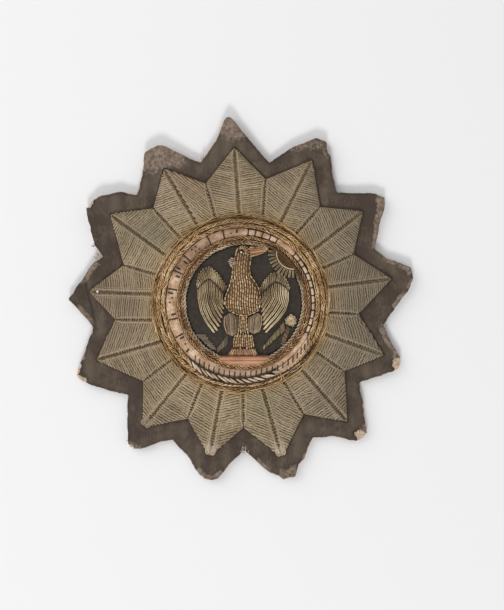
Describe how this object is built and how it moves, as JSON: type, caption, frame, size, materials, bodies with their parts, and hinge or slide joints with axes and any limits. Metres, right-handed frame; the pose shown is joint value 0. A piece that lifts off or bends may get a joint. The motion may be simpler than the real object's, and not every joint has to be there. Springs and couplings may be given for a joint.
{
  "type": "embroidered breast star",
  "caption": "Old embroidered breast star: padded silver-thread rays on brown silk over card, round a corded medallion with an eagle on a perch",
  "frame": {"origin": "middle of the medallion's outer cord, on the back of the card", "axes": "+Z out of the embroidered face, +Y to the top ray, +X to the right as the face is seen, in metres"},
  "size_m": [0.0998, 0.105, 0.0055],
  "materials": {
    "card": "pale uncoated card, yellowed, scuffed bare at some tips",
    "brown_silk": "dull brown ribbed silk, worn grey at the tips",
    "silver_thread": "tarnished silver thread laid in wavy rows, satin glints",
    "flat_gold_thread": "flat yellowish gilt thread, soft gloss",
    "gold_cord": "twisted gilt cord with slanted strands, dull gloss",
    "cream_silk": "cream silk thread with brown cross stitches",
    "grey_cord": "thin twisted cord of greyed thread",
    "dark_silk": "dark brown silk with a fine weave",
    "gilt_thread": "couched gilt and silver thread, tarnished",
    "feather_thread": "looped silver-gilt thread in feather rows",
    "grey_silk": "smooth grey satin-stitched silk",
    "coral_silk": "faded coral satin-stitched silk",
    "pink_silk": "greyed pink silk stitches",
    "glass_bead": "small dark glossy bead",
    "dull_gilt_thread": "dull gilt thread laid side by side",
    "brown_thread": "brown silk thread, matt",
    "faded_thread": "faint grey thread, thinly stitched"
  },
  "bodies": {
    "root": {"backing_card": "card", "ground_silk": "brown_silk", "ray_01": "silver_thread", "ray_02": "silver_thread", "ray_03": "silver_thread", "ray_04": "silver_thread", "ray_05": "silver_thread", "ray_06": "silver_thread", "ray_07": "silver_thread", "ray_08": "silver_thread", "ray_09": "silver_thread", "ray_10": "silver_thread", "ray_11": "silver_thread", "ray_12": "silver_thread", "ray_13": "silver_thread", "edge_thread": "flat_gold_thread", "outer_cord_a": "gold_cord", "outer_cord_b": "gold_cord", "silk_band": "cream_silk", "inner_cord_a": "gold_cord", "inner_cord_b_left": "gold_cord", "inner_cord_b_right": "gold_cord", "field_cord_left": "grey_cord", "field_cord_right": "grey_cord", "field_silk": "dark_silk", "eagle_body": "gilt_thread", "eagle_tail": "gilt_thread", "thigh_left": "grey_silk", "thigh_right": "grey_silk", "wing_left": "feather_thread", "wing_right": "feather_thread", "beak": "gilt_thread", "eye": "glass_bead", "nape_tuft": "pink_silk", "eagle_feet": "gilt_thread", "perch": "coral_silk", "sun": "dull_gilt_thread", "flower": "silver_thread", "long_stem": "dull_gilt_thread", "short_stem": "brown_thread", "leaf_left": "faded_thread", "leaf_right": "faded_thread"}
  },
  "joints": []
}
